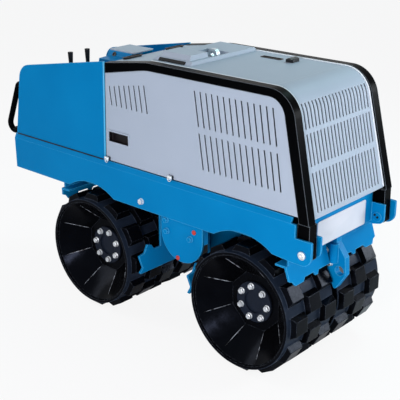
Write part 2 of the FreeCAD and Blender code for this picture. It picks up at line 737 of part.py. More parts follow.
for side_name, side in SIDES:
    guard = leaning_plate("hood_guard_" + side_name, side, "0", "Dims.guard_wide", [
        ("-Dims.hood_rear", "Dims.roof_rear"), ("-100", "Dims.roof_top", "300"),
        ("656", "Dims.roof_top", "125"), ("767", "Dims.shoe_top"), ("720", "Dims.shoe_top"),
        ("616", "Dims.roof_top - Dims.guard_deep", "80"),
        ("-100", "Dims.roof_top - Dims.guard_deep", "300"),
        ("-Dims.hood_rear", "Dims.guard_rear_low")])
    shoe = new_sketch(guard, "XZ_Plane",
                      "Dims.shoe_half - Dims.shoe_wide" if side < 0 else "-Dims.shoe_half", "Shoe")
    draw_outline(shoe, [("708", "583"), ("769", "583"), ("767", "Dims.shoe_top"),
                        ("712", "Dims.shoe_top")])
    draw_circle(shoe, "Dims.pin_x", "Dims.pin_z", "Dims.pin_radius + Dims.running_gap")
    pad(guard, shoe, "Dims.shoe_wide", "ShoePad")
    sheet = leaning_plate("hood_side_" + side_name, side, "2", "Dims.sheet", [
        ("-Dims.hood_rear", "Dims.hood_low"),
        ("720 - (Dims.hood_low - 727) * 104 / (Dims.roof_top - Dims.guard_deep - 727)",
         "Dims.hood_low"),
        ("616", "Dims.roof_top - Dims.guard_deep", "80"),
        ("-100", "Dims.roof_top - Dims.guard_deep", "300"),
        ("-Dims.hood_rear", "Dims.guard_rear_low")])
    vents = new_sketch(sheet, "XZ_Plane", "0", "FrontVents")
    for x, low, high in (("171", "1005", "1150"), ("200", "830", "979")):
        draw_slot(vents, x, low, high)
    cut = pocket_through(sheet, vents, "FrontVentPocket")
    repeat(sheet, cut, vents, "H_Axis", "Dims.vent_pitch", 14, "FrontVentRow")
    vents = new_sketch(sheet, "XZ_Plane", "0", "RearVents")
    for k in range(8):
        x = "-331 + %d * Dims.vent_pitch" % k
        draw_slot(vents, x, "1006", "1090 + %d" % (k * 5))
    draw_box(vents, "-334", "-208", "840", "887")
    pocket_through(sheet, vents, "RearVentPocket")

hood_inside = "Dims.side_top - Dims.guard_wide"
roof_face = "Dims.roof_top - Dims.roof_sunk"
roof_rear_face = "Dims.roof_rear - Dims.roof_sunk"
roof = cross_piece("hood_roof", hood_inside, [
    ("-Dims.hood_rear", roof_rear_face), ("-100", roof_face, "300"),
    ("540", roof_face), ("540", roof_face + " - Dims.sheet"),
    ("-100", roof_face + " - Dims.sheet", "304"),
    ("-Dims.hood_rear", roof_rear_face + " - Dims.sheet")])
openings = new_sketch(roof, "XY_Plane", "Dims.roof_top", "Openings")
draw_box(openings, "-60", "76", "-18", "18")
draw_box(openings, "-338", "-314", "-180", "-88")
draw_box(openings, "-338", "-314", "88", "180")
draw_box(openings, "185", "283", "138", "156")
pocket_through(roof, openings, "OpeningPocket")

grille = cross_piece("hood_grille", "Dims.side_foot - Dims.guard_wide", [
    ("540", roof_face), ("648", roof_face, "118"), ("755", "738"),
    ("751", "738"), ("645", roof_face + " - Dims.sheet", "114"),
    ("540", roof_face + " - Dims.sheet")])
lean(grille, "Dims.guard_wide")
bars = new_sketch(grille, "YZ_Plane", "0", "GrilleSlots")
first = "-9.5 * Dims.grille_pitch - Dims.grille_slot / 2"
for low, high in (("757", "909"), ("932", "1054"), ("1071", "1166")):
    draw_box(bars, first, first + " + Dims.grille_slot", low, high)
cut = pocket_through(grille, bars, "GrillePocket")
repeat(grille, cut, bars, "H_Axis", "Dims.grille_pitch", 20, "GrilleRow")

# The cover over the lifting eye: a low platform across the roof, and on its
# right a taller box with an air slot along its foot.
bulge = new_body("hood_bulge")
for stage, rings in (
        ("Platform", (("1196", "-150", "96", "-226", "236"), ("1236", "-118", "82", "-186", "218"))),
        ("Box", (("1200", "-118", "66", "-200", "-62"), ("1256", "-102", "56", "-166", "-66")))):
    levels = []
    for name, (at, x_low, x_high, y_low, y_high) in zip(("Foot", "Top"), rings):
        level = new_sketch(bulge, "XY_Plane", at, stage + name)
        draw_box(level, x_low, x_high, y_low, y_high)
        levels.append(level)
    hat = bulge.newObject("PartDesign::AdditiveLoft", stage)
    hat.Profile = levels[0]
    hat.Sections = [levels[1]]
    hat.Ruled = True
under = new_sketch(bulge, "XZ_Plane", "0", "Underside")
draw_outline(under, [
    ("-Dims.hood_rear", roof_rear_face), ("-100", roof_face, "300"),
    ("540", roof_face), ("540", "1100"), ("-Dims.hood_rear", "1100")])
pocket_through(bulge, under, "UndersidePocket")
recess = new_sketch(bulge, "XY_Plane", "1260", "Recess")
draw_box(recess, "-60", "70", "-60", "66")
pocket_through(bulge, recess, "RecessPocket")
slot = new_sketch(bulge, "XZ_Plane", "200", "AirSlot")
draw_box(slot, "-100", "50", "1210", "1225")
cut = bulge.newObject("PartDesign::Pocket", "AirSlotPocket")
cut.Profile = slot
cut.Length = 44

latches = new_body("hood_latches")
catch = new_sketch(latches, "XY_Plane", roof_face, "RoofCatch")
draw_box(catch, "324", "362", "124", "168")
pad(latches, catch, "11", "RoofCatchPad")
for side_name, side in SIDES:
    for place in ("-338", "52"):
        plate = new_sketch(latches, "XZ_Plane", "290" if side < 0 else "-300", "Latch_" + side_name)
        draw_box(plate, place + " - 13", place + " + 13", "752", "768")
        pad(latches, plate, "10", "LatchPad_" + side_name)
seat = new_sketch(latches, "YZ_Plane", "0", "Seat")
face_low = "(Dims.side_foot - 2 - (745 - Dims.shoe_top) * " + SIDE_SLOPE + ")"
face_high = "(Dims.side_foot - 2 - (775 - Dims.shoe_top) * " + SIDE_SLOPE + ")"
for sign in ("", "-"):
    draw_outline(seat, [(sign + "270", "745"), (sign + face_low, "745"),
                        (sign + face_high, "775"), (sign + "270", "775")])
pocket_through(latches, seat, "SeatPocket")

doc.recompute()

os.makedirs("parts", exist_ok=True)
faults = []
for item in doc.Objects:
    if "Invalid" in item.State or "Error" in item.State:
        faults.append("%s (%s): %s" % (item.Name, item.Label, item.State))
for name, piece in pieces.items():
    shape = piece.Shape
    if shape.isNull() or not shape.isValid():
        faults.append("%s has no valid shape" % name)
if faults:
    raise RuntimeError("; ".join(faults))
for name, piece in pieces.items():
    piece.Shape.exportStep("parts/%s.step" % name)
    box = piece.Shape.BoundBox
    print("%-24s %8.1f..%-8.1f %7.1f..%-7.1f %7.1f..%-7.1f solids %d"
          % (name, box.XMin, box.XMax, box.YMin, box.YMax, box.ZMin, box.ZMax,
             len(piece.Shape.Solids)))
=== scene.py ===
# Looks of the padfoot trench roller.  The sections follow the machine as it
# is put together: drums, legs, chassis, scrapers, rear box, engine, hood.
import bmesh
import bpy
import math
from mathutils import Matrix, Vector


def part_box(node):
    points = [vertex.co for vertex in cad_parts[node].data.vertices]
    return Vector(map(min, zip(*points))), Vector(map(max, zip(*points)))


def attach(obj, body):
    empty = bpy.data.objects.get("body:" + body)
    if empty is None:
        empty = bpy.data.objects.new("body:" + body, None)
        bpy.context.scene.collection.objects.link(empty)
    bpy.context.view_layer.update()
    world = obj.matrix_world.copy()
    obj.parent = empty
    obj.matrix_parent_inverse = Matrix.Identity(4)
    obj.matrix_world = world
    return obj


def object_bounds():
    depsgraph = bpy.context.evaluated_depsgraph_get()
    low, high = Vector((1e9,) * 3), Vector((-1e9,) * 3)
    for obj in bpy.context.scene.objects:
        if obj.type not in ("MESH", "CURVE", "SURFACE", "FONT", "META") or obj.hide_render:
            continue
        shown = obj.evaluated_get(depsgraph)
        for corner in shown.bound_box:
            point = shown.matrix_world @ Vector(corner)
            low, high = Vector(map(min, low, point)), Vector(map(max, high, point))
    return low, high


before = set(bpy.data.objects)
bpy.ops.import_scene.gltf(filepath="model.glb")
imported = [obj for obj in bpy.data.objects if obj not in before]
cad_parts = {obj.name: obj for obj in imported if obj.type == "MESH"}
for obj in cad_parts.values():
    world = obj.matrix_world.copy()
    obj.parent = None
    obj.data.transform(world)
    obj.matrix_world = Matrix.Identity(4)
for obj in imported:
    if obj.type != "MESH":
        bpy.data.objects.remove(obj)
cad_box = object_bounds()
bpy.ops.object.select_all(action="DESELECT")


# ---- the studio ------------------------------------------------------------
# A matt pale floor that runs on past the view, under soft lamps: two large
# ones off the front corners, and weaker ones above, behind and low in front.
# The white behind the machine is the floor's and the world's own colour.

def linear(colour):
    """A hex colour, as linear RGBA."""
    channels = [int(colour[i:i + 2], 16) / 255 for i in (1, 3, 5)]
    return [c / 12.92 if c <= 0.04045 else ((c + 0.055) / 1.055) ** 2.4 for c in channels] + [1]


def add_node(tree, kind, settings=(), sockets=()):
    """Adds a node.  A socket is given a value, or an output that feeds it."""
    node = tree.nodes.new(kind)
    for name, value in dict(settings).items():
        setattr(node, name, value)
    for name, value in dict(sockets).items():
        if isinstance(value, bpy.types.NodeSocket):
            tree.links.new(value, node.inputs[name])
        else:
            node.inputs[name].default_value = value
    return node


def new_finish(name):
    """An empty material, and its node tree."""
    material = bpy.data.materials.new(name)
    material.use_nodes = True
    material.node_tree.nodes.clear()
    return material, material.node_tree


scene = bpy.context.scene
scene.view_settings.view_transform = "Standard"

# The room: soft light for the machine, white for the view and for what is
# seen in gloss or through glass.
ROOM_LIGHT = 0.48
world = bpy.data.worlds.new("pale_room")
scene.world = world
world.use_nodes = True
tree = world.node_tree
tree.nodes.clear()
path = add_node(tree, "ShaderNodeLightPath")
seen = add_node(tree, "ShaderNodeMath", {"operation": "MAXIMUM"},
                {0: path.outputs["Is Camera Ray"], 1: path.outputs["Is Glossy Ray"]})
seen = add_node(tree, "ShaderNodeMath", {"operation": "MAXIMUM"},
                {0: seen.outputs[0], 1: path.outputs["Is Transmission Ray"]})
soft = add_node(tree, "ShaderNodeBackground", (), {
    "Color": linear("#EEF2F8"), "Strength": ROOM_LIGHT})
white = add_node(tree, "ShaderNodeBackground", (), {"Color": linear("#FFFFFF"), "Strength": 1.0})
mixed = add_node(tree, "ShaderNodeMixShader", (),
                 {0: seen.outputs[0], 1: soft.outputs[0], 2: white.outputs[0]})
add_node(tree, "ShaderNodeOutputWorld", (), {"Surface": mixed.outputs[0]})

# The floor: matt paint, which the camera sees lifted most of the way to white,
# so that only the shadow stays.
FLOOR_LIFT = 0.88
FLOOR_DROP = 0.0005               # keeps its face clear of the drums' lowest ones
floor_paint, tree = new_finish("matt_floor_paint")
path = add_node(tree, "ShaderNodeLightPath")
matt = add_node(tree, "ShaderNodeBsdfDiffuse", (), {"Color": linear("#E8EAEC")})
glow = add_node(tree, "ShaderNodeEmission", (), {"Color": linear("#FFFFFF"), "Strength": 1.0})
lift = add_node(tree, "ShaderNodeMath", {"operation": "MULTIPLY"},
                {0: path.outputs["Is Camera Ray"], 1: FLOOR_LIFT})
mixed = add_node(tree, "ShaderNodeMixShader", (),
                 {0: lift.outputs[0], 1: matt.outputs[0], 2: glow.outputs[0]})
add_node(tree, "ShaderNodeOutputMaterial", (), {"Surface": mixed.outputs[0]})
bpy.ops.mesh.primitive_plane_add(size=80, location=(0, 0, cad_box[0].z - FLOOR_DROP))
floor = bpy.context.object
floor.name = "floor"
floor.data.materials.append(floor_paint)

# Lamps: place, aim, width, height, watts and colour.
for name, place, aim, width, height, power, colour in (
        ("key_lamp", (1.95, -3.7, 1.5), (0.20, -0.30, 0.50), 0.90, 0.70, 85, "#FFF6FA"),
        ("right_lamp", (3.0, 2.8, 1.6), (0.60, 0.0, 0.60), 1.4, 1.1, 86, "#F4FAFF"),
        ("top_lamp", (0.9, 1.6, 3.2), (0.50, 0.0, 1.10), 1.2, 0.8, 27, "#BCF0F0"),
        ("rear_lamp", (-3.2, -1.6, 2.6), (-0.50, 0.0, 0.60), 1.6, 1.2, 30, "#FFFFFF"),
        ("low_lamp", (3.2, -1.3, 0.40), (0.60, -0.10, 0.35), 1.2, 0.6, 18, "#EAF6FF")):
    light = bpy.data.lights.new(name, "AREA")
    light.shape = "RECTANGLE"
    light.size, light.size_y, light.energy = width, height, power
    light.color = linear(colour)[:3]
    lamp = bpy.data.objects.new(name, light)
    scene.collection.objects.link(lamp)
    lamp.location = place
    lamp.rotation_euler = (Vector(aim) - Vector(place)).to_track_quat("-Z", "Y").to_euler()

# The camera stands off the right front corner, a little above the hood, and
# is rolled by a third of a degree.
AIM = Vector((0.212, -0.102, 0.600))
DISTANCE = 4.060
azimuth, elevation, roll = (math.radians(v) for v in (42.35, 20.86, -0.37))
back = Vector((math.sin(azimuth) * math.cos(elevation),
               -math.cos(azimuth) * math.cos(elevation), math.sin(elevation)))
right = Vector((math.cos(azimuth), math.sin(azimuth), 0))
up = back.cross(right)
right, up = (math.cos(roll) * right + math.sin(roll) * up,
             math.cos(roll) * up - math.sin(roll) * right)
camera = bpy.data.objects.new("camera", bpy.data.cameras.new("camera"))
scene.collection.objects.link(camera)
camera.data.lens = 82.6
camera.data.sensor_width = 36
camera.matrix_world = (Matrix.Translation(AIM + back * DISTANCE)
                       @ Matrix((right, up, back)).transposed().to_4x4())
scene.camera = camera


# ---- drums -----------------------------------------------------------------
# Rolled steel shells with welded steel pads, closed by pressed dishes, all in
# black gloss enamel.  The coat ripples a little where it has run.  Its edges
# are painted grey, partly where the coat is thin and partly as a painted
# highlight.

SIDES = {"right": -1, "left": 1}
ENDS = ("front", "rear")


def dress(material, *names):
    """Gives CAD nodes their finish."""
    for name in names:
        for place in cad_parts[name].material_slots:
            place.material = material


def hub_middle(end, side):
    """The middle of a drum's hub, which is on its axle."""
    low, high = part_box("%s_hub_%s" % (end, side))
    return (low + high) / 2


# Enamel: sprayed gloss.  Runs 60 mm long give soft wavy reflections.  Scuffs
# 8 mm across, coarser than real ones so that they show, dull the gloss.  At
# the radius of the shells the coat is painted slate grey-blue, a painted
# reflection of the studio's light, with a softer sheen.  The pads that stand
# out of it are black and scuffed.
SCUFF, RUN = 0.008, 0.060
EDGE_ROUNDING = 0.004
SHELL_BAND = 0.0025               # how far from the radius still counts as shell
front_axle, rear_axle = (hub_middle(end, "right") for end in ENDS)


def gloss_enamel(name, shell_radius, gloss):
    material, tree = new_finish(name)
    place = add_node(tree, "ShaderNodeTexCoord")
    scuffs = add_node(tree, "ShaderNodeTexNoise", (), {
        "Vector": place.outputs["Object"], "Scale": 1 / SCUFF, "Detail": 3.0})
    runs = add_node(tree, "ShaderNodeTexNoise", (), {
        "Vector": place.outputs["Object"], "Scale": 1 / RUN, "Detail": 1.0})

    # How far a point is from the nearer axle.
    split = add_node(tree, "ShaderNodeSeparateXYZ", (), {0: place.outputs["Object"]})
    along = add_node(tree, "ShaderNodeMath", {"operation": "SUBTRACT"},
                     {0: split.outputs["X"], 1: (front_axle.x + rear_axle.x) / 2})
    along = add_node(tree, "ShaderNodeMath", {"operation": "ABSOLUTE"}, {0: along.outputs[0]})
    along = add_node(tree, "ShaderNodeMath", {"operation": "SUBTRACT"},
                     {0: along.outputs[0], 1: (front_axle.x - rear_axle.x) / 2})
    rise = add_node(tree, "ShaderNodeMath", {"operation": "SUBTRACT"},
                    {0: split.outputs["Z"], 1: front_axle.z})
    spoke = add_node(tree, "ShaderNodeCombineXYZ", (),
                     {"X": along.outputs[0], "Z": rise.outputs[0]})
    reach = add_node(tree, "ShaderNodeVectorMath", {"operation": "LENGTH"}, {0: spoke.outputs[0]})
    painted_sheen_zone = add_node(tree, "ShaderNodeMath", {"operation": "COMPARE"},
                     {0: reach.outputs["Value"], 1: shell_radius, 2: SHELL_BAND})

    # Where the rounded normal turns away from the flat one, there is an edge.
    rounded = add_node(tree, "ShaderNodeBevel", {"samples": 6}, {"Radius": EDGE_ROUNDING})
    rippled = add_node(tree, "ShaderNodeBump", (), {
        "Height": runs.outputs[0], "Strength": 0.2, "Distance": 0.004,
        "Normal": rounded.outputs[0]})
    flat = add_node(tree, "ShaderNodeNewGeometry")
    turn = add_node(tree, "ShaderNodeVectorMath", {"operation": "DOT_PRODUCT"},
                    {0: rounded.outputs[0], 1: flat.outputs["Normal"]})
    edge = add_node(tree, "ShaderNodeMapRange", (), {
        "Value": turn.outputs["Value"], "From Min": 0.99, "From Max": 0.90,
        "To Min": 0.0, "To Max": 1.0})
    broken = add_node(tree, "ShaderNodeMapRange", (), {
        "Value": scuffs.outputs[0], "From Min": 0.44, "From Max": 0.64,
        "To Min": 0.10, "To Max": 1.0})
    painted_highlight_mask = add_node(tree, "ShaderNodeMath", {"operation": "MULTIPLY"},
                    {0: edge.outputs[0], 1: broken.outputs[0]})

    black = add_node(tree, "ShaderNodeMix", {"data_type": "RGBA"}, {
        0: runs.outputs[0], 6: linear("#020203"), 7: linear("#07080B")})
    # Painted reflection: the shells are coloured slate grey-blue for the light they reflect.
    painted_slate_reflection = add_node(tree, "ShaderNodeMix", {"data_type": "RGBA"}, {
        0: runs.outputs[0], 6: linear("#131923"), 7: linear("#252E3C")})
    shade = add_node(tree, "ShaderNodeMix", {"data_type": "RGBA"}, {
        0: painted_sheen_zone.outputs[0], 6: black.outputs[2], 7: painted_slate_reflection.outputs[2]})
    # Edges: grey where the coat is thin, and a painted highlight of the light they catch.
    colour = add_node(tree, "ShaderNodeMix", {"data_type": "RGBA"}, {
        0: painted_highlight_mask.outputs[0], 6: shade.outputs[2], 7: linear("#444A52")})
    dulled = add_node(tree, "ShaderNodeMapRange", (), {
        "Value": scuffs.outputs[0], "From Min": 0.35, "From Max": 0.75,
        "To Min": 0.14, "To Max": 0.24})
    sheen = add_node(tree, "ShaderNodeMath", {"operation": "MULTIPLY_ADD"},
                     {0: painted_sheen_zone.outputs[0], 1: 0.16, 2: dulled.outputs[0]})
    coat = add_node(tree, "ShaderNodeBsdfPrincipled", (), {
        "Base Color": colour.outputs[2], "Roughness": sheen.outputs[0],
        "Normal": rippled.outputs[0], "IOR": 1.5, "Specular IOR Level": gloss,
        "Specular Tint": linear("#B4C8F0")})
    add_node(tree, "ShaderNodeOutputMaterial", (), {"Surface": coat.outputs[0]})
    return material


NO_SHELL = -1.0                   # a radius that no point has
drum_enamel = gloss_enamel("black_gloss_enamel", 0.256, 0.055)
dish_enamel = gloss_enamel("dish_gloss_enamel", NO_SHELL, 0.04)
for end in ENDS:
    for side in SIDES:
        dress(drum_enamel, "%s_drum_%s" % (end, side))
        dress(dish_enamel, "%s_dish_%s" % (end, side))


# ---- drum hubs -------------------------------------------------------------
# Wheel motor flanges, turned from steel and coated satin blue-black, each held
# by seven zinc-plated flange bolts.

def grained_finish(name, grain, dark, light, sockets, detail=2.0, dull=None, relief=None,
                   rounding=None):
    """A finish that goes from dark to light in grains of that size in metres.
    Where they are given, the grain also dulls it between two roughnesses and
    stands out of it in relief, and its edges are rounded."""
    material, tree = new_finish(name)
    place = add_node(tree, "ShaderNodeTexCoord")
    grains = add_node(tree, "ShaderNodeTexNoise", (), {
        "Vector": place.outputs["Object"], "Scale": 1 / grain, "Detail": detail})
    colour = add_node(tree, "ShaderNodeMix", {"data_type": "RGBA"}, {
        0: grains.outputs[0], 6: linear(dark), 7: linear(light)})
    sockets = {"Base Color": colour.outputs[2], **sockets}
    if dull:
        dulled = add_node(tree, "ShaderNodeMapRange", (), {
            "Value": grains.outputs[0], "From Min": 0.3, "From Max": 0.7,
            "To Min": dull[0], "To Max": dull[1]})
        sockets["Roughness"] = dulled.outputs[0]
    if relief:
        raised = add_node(tree, "ShaderNodeBump", (), {
            "Height": grains.outputs[0], "Strength": relief, "Distance": 0.001})
        sockets["Normal"] = raised.outputs[0]
        if rounding:
            rounded = add_node(tree, "ShaderNodeBevel", {"samples": 6}, {"Radius": rounding})
            tree.links.new(rounded.outputs[0], raised.inputs["Normal"])
    coat = add_node(tree, "ShaderNodeBsdfPrincipled", (), sockets)
    add_node(tree, "ShaderNodeOutputMaterial", (), {"Surface": coat.outputs[0]})
    return material


# Hub enamel: satin, with a fine pitted grain 5 mm across that breaks up its
# reflections.  Zinc plating: bright and bluish, cloudy where it was
# passivated, in clouds 6 mm across.
hub_coat = grained_finish(
    "satin_hub_enamel", 0.005, "#0F1520", "#1A2230", {"IOR": 1.5, "Specular IOR Level": 0.12},
    dull=(0.35, 0.50), relief=0.15, rounding=0.002)
zinc = grained_finish(
    "zinc_plated_steel", 0.006, "#DCE2E6", "#F2F5F6", {"Metallic": 0.9}, dull=(0.28, 0.45))


def pick(test, edges=False):
    """In edit mode, selects the faces that pass a test of their middle and
    normal, or the edges that pass one of their middle and direction."""
    mesh = bmesh.from_edit_mesh(bpy.context.object.data)
    bpy.context.tool_settings.mesh_select_mode = (False, edges, not edges)
    mesh.select_mode = {"EDGE"} if edges else {"FACE"}
    mesh.normal_update()
    for part in (*mesh.verts, *mesh.edges, *mesh.faces):
        part.select = False
    if edges:
        for edge in mesh.edges:
            ends = [corner.co for corner in edge.verts]
            if test((ends[0] + ends[1]) / 2, ends[1] - ends[0]):
                edge.select_set(True)
    else:
        for face in mesh.faces:
            if test(face.calc_center_median(), face.normal):
                face.select_set(True)
    bmesh.update_edit_mesh(bpy.context.object.data)


def top_face(middle, normal):
    return normal.z > 0.9


def round_edges(test, offset, segments):
    """Rounds the edges that pass a test of their middle and direction."""
    pick(test, edges=True)
    bpy.ops.mesh.bevel(offset=offset, segments=segments, affect="EDGES")


def inset(thickness, move=(0, 0, 0)):
    """Insets the selected face, then moves it."""
    bpy.ops.mesh.inset(thickness=thickness)
    bpy.ops.transform.translate(value=move)


def disc(vertices, radius, depth, foot=0.0):
    """A disc on z = foot, open for editing with its top face selected."""
    bpy.ops.mesh.primitive_cylinder_add(vertices=vertices, radius=radius, depth=depth,
                                        location=(0, 0, foot + depth / 2))
    bpy.ops.object.transform_apply(location=True, rotation=False, scale=False)
    bpy.ops.object.mode_set(mode="EDIT")
    pick(top_face)


masters = []                      # the pieces that only their copies show


def settle(name, material, body=None, smooth=30):
    """Leaves edit mode and finishes the active piece: its place goes into its
    mesh, its faces point outwards if it was being edited, and it rides on a
    body.  A piece with no body is a master for copies."""
    piece = bpy.context.object
    if piece.mode == "EDIT":
        bpy.ops.mesh.select_all(action="SELECT")
        bpy.ops.mesh.normals_make_consistent(inside=False)
        bpy.ops.object.mode_set(mode="OBJECT")
    bpy.ops.object.select_all(action="DESELECT")
    piece.select_set(True)
    bpy.ops.object.transform_apply(location=True, rotation=True, scale=True)
    bpy.ops.object.shade_smooth_by_angle(angle=math.radians(smooth))
    piece.select_set(False)
    piece.name = name
    piece.data.name = name
    piece.data.materials.clear()
    piece.data.materials.append(material)
    if body:
        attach(piece, body)
    else:
        masters.append(piece)
    return piece


def copies(master, places, name, body):
    """Copies of one piece, each with its own mesh, joined into one piece."""
    bpy.ops.object.select_all(action="DESELECT")
    made = []
    for spot in places:
        mesh = master.data.copy()
        mesh.transform(spot)
        twin = bpy.data.objects.new(name, mesh)
        scene.collection.objects.link(twin)
        twin.select_set(True)
        made.append(twin)
    bpy.context.view_layer.objects.active = made[0]
    if len(made) > 1:
        bpy.ops.object.join()
    bpy.ops.object.select_all(action="DESELECT")
    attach(made[0], body)


def facing(x, y, z, way, turn=0.0):
    """A place at (x, y, z), with its own Z along way, turned about it."""
    quarter = Vector(way).to_track_quat("Z", "X").to_matrix().to_4x4()
    return Matrix.Translation((x, y, z)) @ quarter @ Matrix.Rotation(turn, 4, "Z")


# The bolt: a hexagon head 22 mm across, chamfered and dished on top, on a
# chamfered flange 29 mm across.
FLANGE_RADIUS, FLANGE_DEPTH = 0.0145, 0.003
disc(6, 0.0127, 0.010, FLANGE_DEPTH)
inset(0.0016, (0, 0, 0.0012))
inset(0.0030, (0, 0, -0.0010))
bpy.ops.mesh.primitive_cylinder_add(vertices=28, radius=FLANGE_RADIUS, depth=FLANGE_DEPTH,
                                    location=(0, 0, FLANGE_DEPTH / 2))
round_edges(lambda middle, along: abs(middle.z - FLANGE_DEPTH) < 0.0002
            and middle.xy.length > FLANGE_RADIUS - 0.0003, 0.0015, 2)
flange_bolt = settle("flange_bolt", zinc)

BOLT_CIRCLE = 0.072
FIRST_BOLT = {"front": -3.0, "rear": 20.6}     # degrees up from straight ahead
for end in ENDS:
    for side, sign in SIDES.items():
        dress(hub_coat, "%s_hub_%s" % (end, side))
        low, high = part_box("%s_hub_%s" % (end, side))
        face = high.y if sign > 0 else low.y
        axle = hub_middle(end, side)
        spots = []
        for k in range(7):
            angle = math.radians(FIRST_BOLT[end] + k * 360 / 7)
            spots.append(facing(axle.x + BOLT_CIRCLE * math.cos(angle), face,
                                axle.z + BOLT_CIRCLE * math.sin(angle), (0, sign, 0), 0.7 * k))
        copies(flange_bolt, spots, "hub_bolts_%s_%s" % (end, side), "%s_%s_drum" % (end, side))


# ---- dish folds ------------------------------------------------------------
# Each dish is pressed from round to eight-sided.  Its eight folds are sharp,
# and each carries a thin bead painted pale in broken stretches: a painted
# highlight of the light the folds catch.

# Fold enamel: black, with pale grey stretches 25 mm long that are painted highlight.
fold_highlight_enamel, tree = new_finish("fold_painted_highlight_enamel")
place = add_node(tree, "ShaderNodeTexCoord")
highlight_breaks = add_node(tree, "ShaderNodeTexNoise", (), {
    "Vector": place.outputs["Object"], "Scale": 1 / 0.025, "Detail": 2.0})
painted_highlight_mask = add_node(tree, "ShaderNodeMapRange", (), {
    "Value": highlight_breaks.outputs[0], "From Min": 0.42, "From Max": 0.60, "To Min": 0.0, "To Max": 1.0})
colour = add_node(tree, "ShaderNodeMix", {"data_type": "RGBA"}, {
    0: painted_highlight_mask.outputs[0], 6: linear("#0A0B0E"), 7: linear("#A2AAB4")})
coat = add_node(tree, "ShaderNodeBsdfPrincipled", (), {
    "Base Color": colour.outputs[2], "Roughness": 0.3, "IOR": 1.5, "Specular IOR Level": 0.3})
add_node(tree, "ShaderNodeOutputMaterial", (), {"Surface": coat.outputs[0]})


def draw_out(move, narrow=(1, 1, 1)):
    """Extrudes the selected face by a move, then narrows it."""
    bpy.ops.mesh.extrude_region_move(TRANSFORM_OT_translate={"value": move})
    bpy.ops.transform.resize(value=narrow)


# The fold's line goes from a corner of the dish's floor towards its round
# mouth, and thins out at both ends.
FLOOR_CORNER = (0.132, 0.212)     # distance from the axle, and from the middle
MOUTH = (0.238, 0.322)
fold_length = math.dist(FLOOR_CORNER, MOUTH)
disc(10, 0.0015, fold_length * 0.30, fold_length * 0.20)
draw_out((0, 0, fold_length * 0.35), (0.3, 0.3, 1))
pick(lambda middle, normal: normal.z < -0.9)
draw_out((0, 0, fold_length * -0.15), (0.3, 0.3, 1))
fold = settle("fold", fold_highlight_enamel)
for end in ENDS:
    for side, sign in SIDES.items():
        axle = hub_middle(end, side)
        spots = []
        for k in range(8):
            angle = math.radians(22.5 + 45 * k)
            out = Vector((math.cos(angle), 0, math.sin(angle)))
            corner, mouth = (Vector((axle.x, sign * across, axle.z)) + out * radius
                             for radius, across in (FLOOR_CORNER, MOUTH))
            spots.append(facing(*corner, mouth - corner))
        copies(fold, spots, "dish_folds_%s_%s" % (end, side), "%s_%s_drum" % (end, side))


# ---- drum legs -------------------------------------------------------------
# Steel plates between the half drums, with the axle housings welded to them,
# in the drums' enamel.

dress(dish_enamel, "front_drum_leg", "rear_drum_leg")


# ---- side skirts and chassis plates ----------------------------------------
# Folded and flame-cut steel plates, welded, in blue gloss powder coat.  Bolts
# hold the hanging plates, and red plastic plugs close spare holes.

def powder_coat(name, dark, light, pale, roughness, specular):
    """Powder coat: sprayed and baked.  It levels into orange peel 12 mm across,
    a few times coarser than real, clouds over a quarter of a metre, and is
    painted pale on its edges, partly where it is thin and partly as a painted
    highlight."""
    material, tree = new_finish(name)
    place = add_node(tree, "ShaderNodeTexCoord")
    cloud = add_node(tree, "ShaderNodeTexNoise", (), {
        "Vector": place.outputs["Object"], "Scale": 1 / 0.25, "Detail": 2.0})
    shade = add_node(tree, "ShaderNodeMix", {"data_type": "RGBA"}, {
        0: cloud.outputs[0], 6: linear(dark), 7: linear(light)})
    rounded = add_node(tree, "ShaderNodeBevel", {"samples": 6}, {"Radius": EDGE_ROUNDING})
    flat = add_node(tree, "ShaderNodeNewGeometry")
    turn = add_node(tree, "ShaderNodeVectorMath", {"operation": "DOT_PRODUCT"},
                    {0: rounded.outputs[0], 1: flat.outputs["Normal"]})
    edge = add_node(tree, "ShaderNodeMapRange", (), {
        "Value": turn.outputs["Value"], "From Min": 0.995, "From Max": 0.93,
        "To Min": 0.0, "To Max": 0.6})
    # The pale edge colour is partly thin coat and partly a painted highlight.
    colour = add_node(tree, "ShaderNodeMix", {"data_type": "RGBA"}, {
        0: edge.outputs[0], 6: shade.outputs[2], 7: linear(pale)})
    peel = add_node(tree, "ShaderNodeTexNoise", (), {
        "Vector": place.outputs["Object"], "Scale": 1 / 0.012, "Detail": 2.0})
    rippled = add_node(tree, "ShaderNodeBump", (), {
        "Height": peel.outputs[0], "Strength": 0.12, "Distance": 0.001,
        "Normal": rounded.outputs[0]})
    coat = add_node(tree, "ShaderNodeBsdfPrincipled", (), {
        "Base Color": colour.outputs[2], "Roughness": roughness, "Normal": rippled.outputs[0],
        "IOR": 1.5, "Specular IOR Level": specular})
    add_node(tree, "ShaderNodeOutputMaterial", (), {"Surface": coat.outputs[0]})
    return material


# Blue coat: its pale blue edges are partly thin coat and partly a painted highlight.
blue_coat = powder_coat("blue_powder_coat", "#0071AB", "#047FB9", "#5CC0EA", 0.32, 0.03)
dress(blue_coat, "side_skirt_right", "side_skirt_left", "side_guard_plates", "chassis_floor",
      "rear_cross_plate")

skirt_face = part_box("side_skirt_left")[1].y
copies(flange_bolt, [facing(0.050, sign * skirt_face, 0.611, (0, sign, 0), 0.4)
                     for sign in SIDES.values()], "chassis_bolts", "chassis")

# The guard plates' bolts are painted over, like the plates.
painted_bolt = bpy.data.objects.new("painted_bolt", flange_bolt.data.copy())
painted_bolt.data.materials[0] = blue_coat
masters.append(painted_bolt)
guard_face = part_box("side_guard_plates")[1].y
copies(painted_bolt, [facing(x, sign * guard_face, z, (0, sign, 0), x) for sign in SIDES.values()
                      for x, z in ((0.194, 0.509), (0.332, 0.508), (0.190, 0.560))],
       "guard_plate_bolts", "chassis")

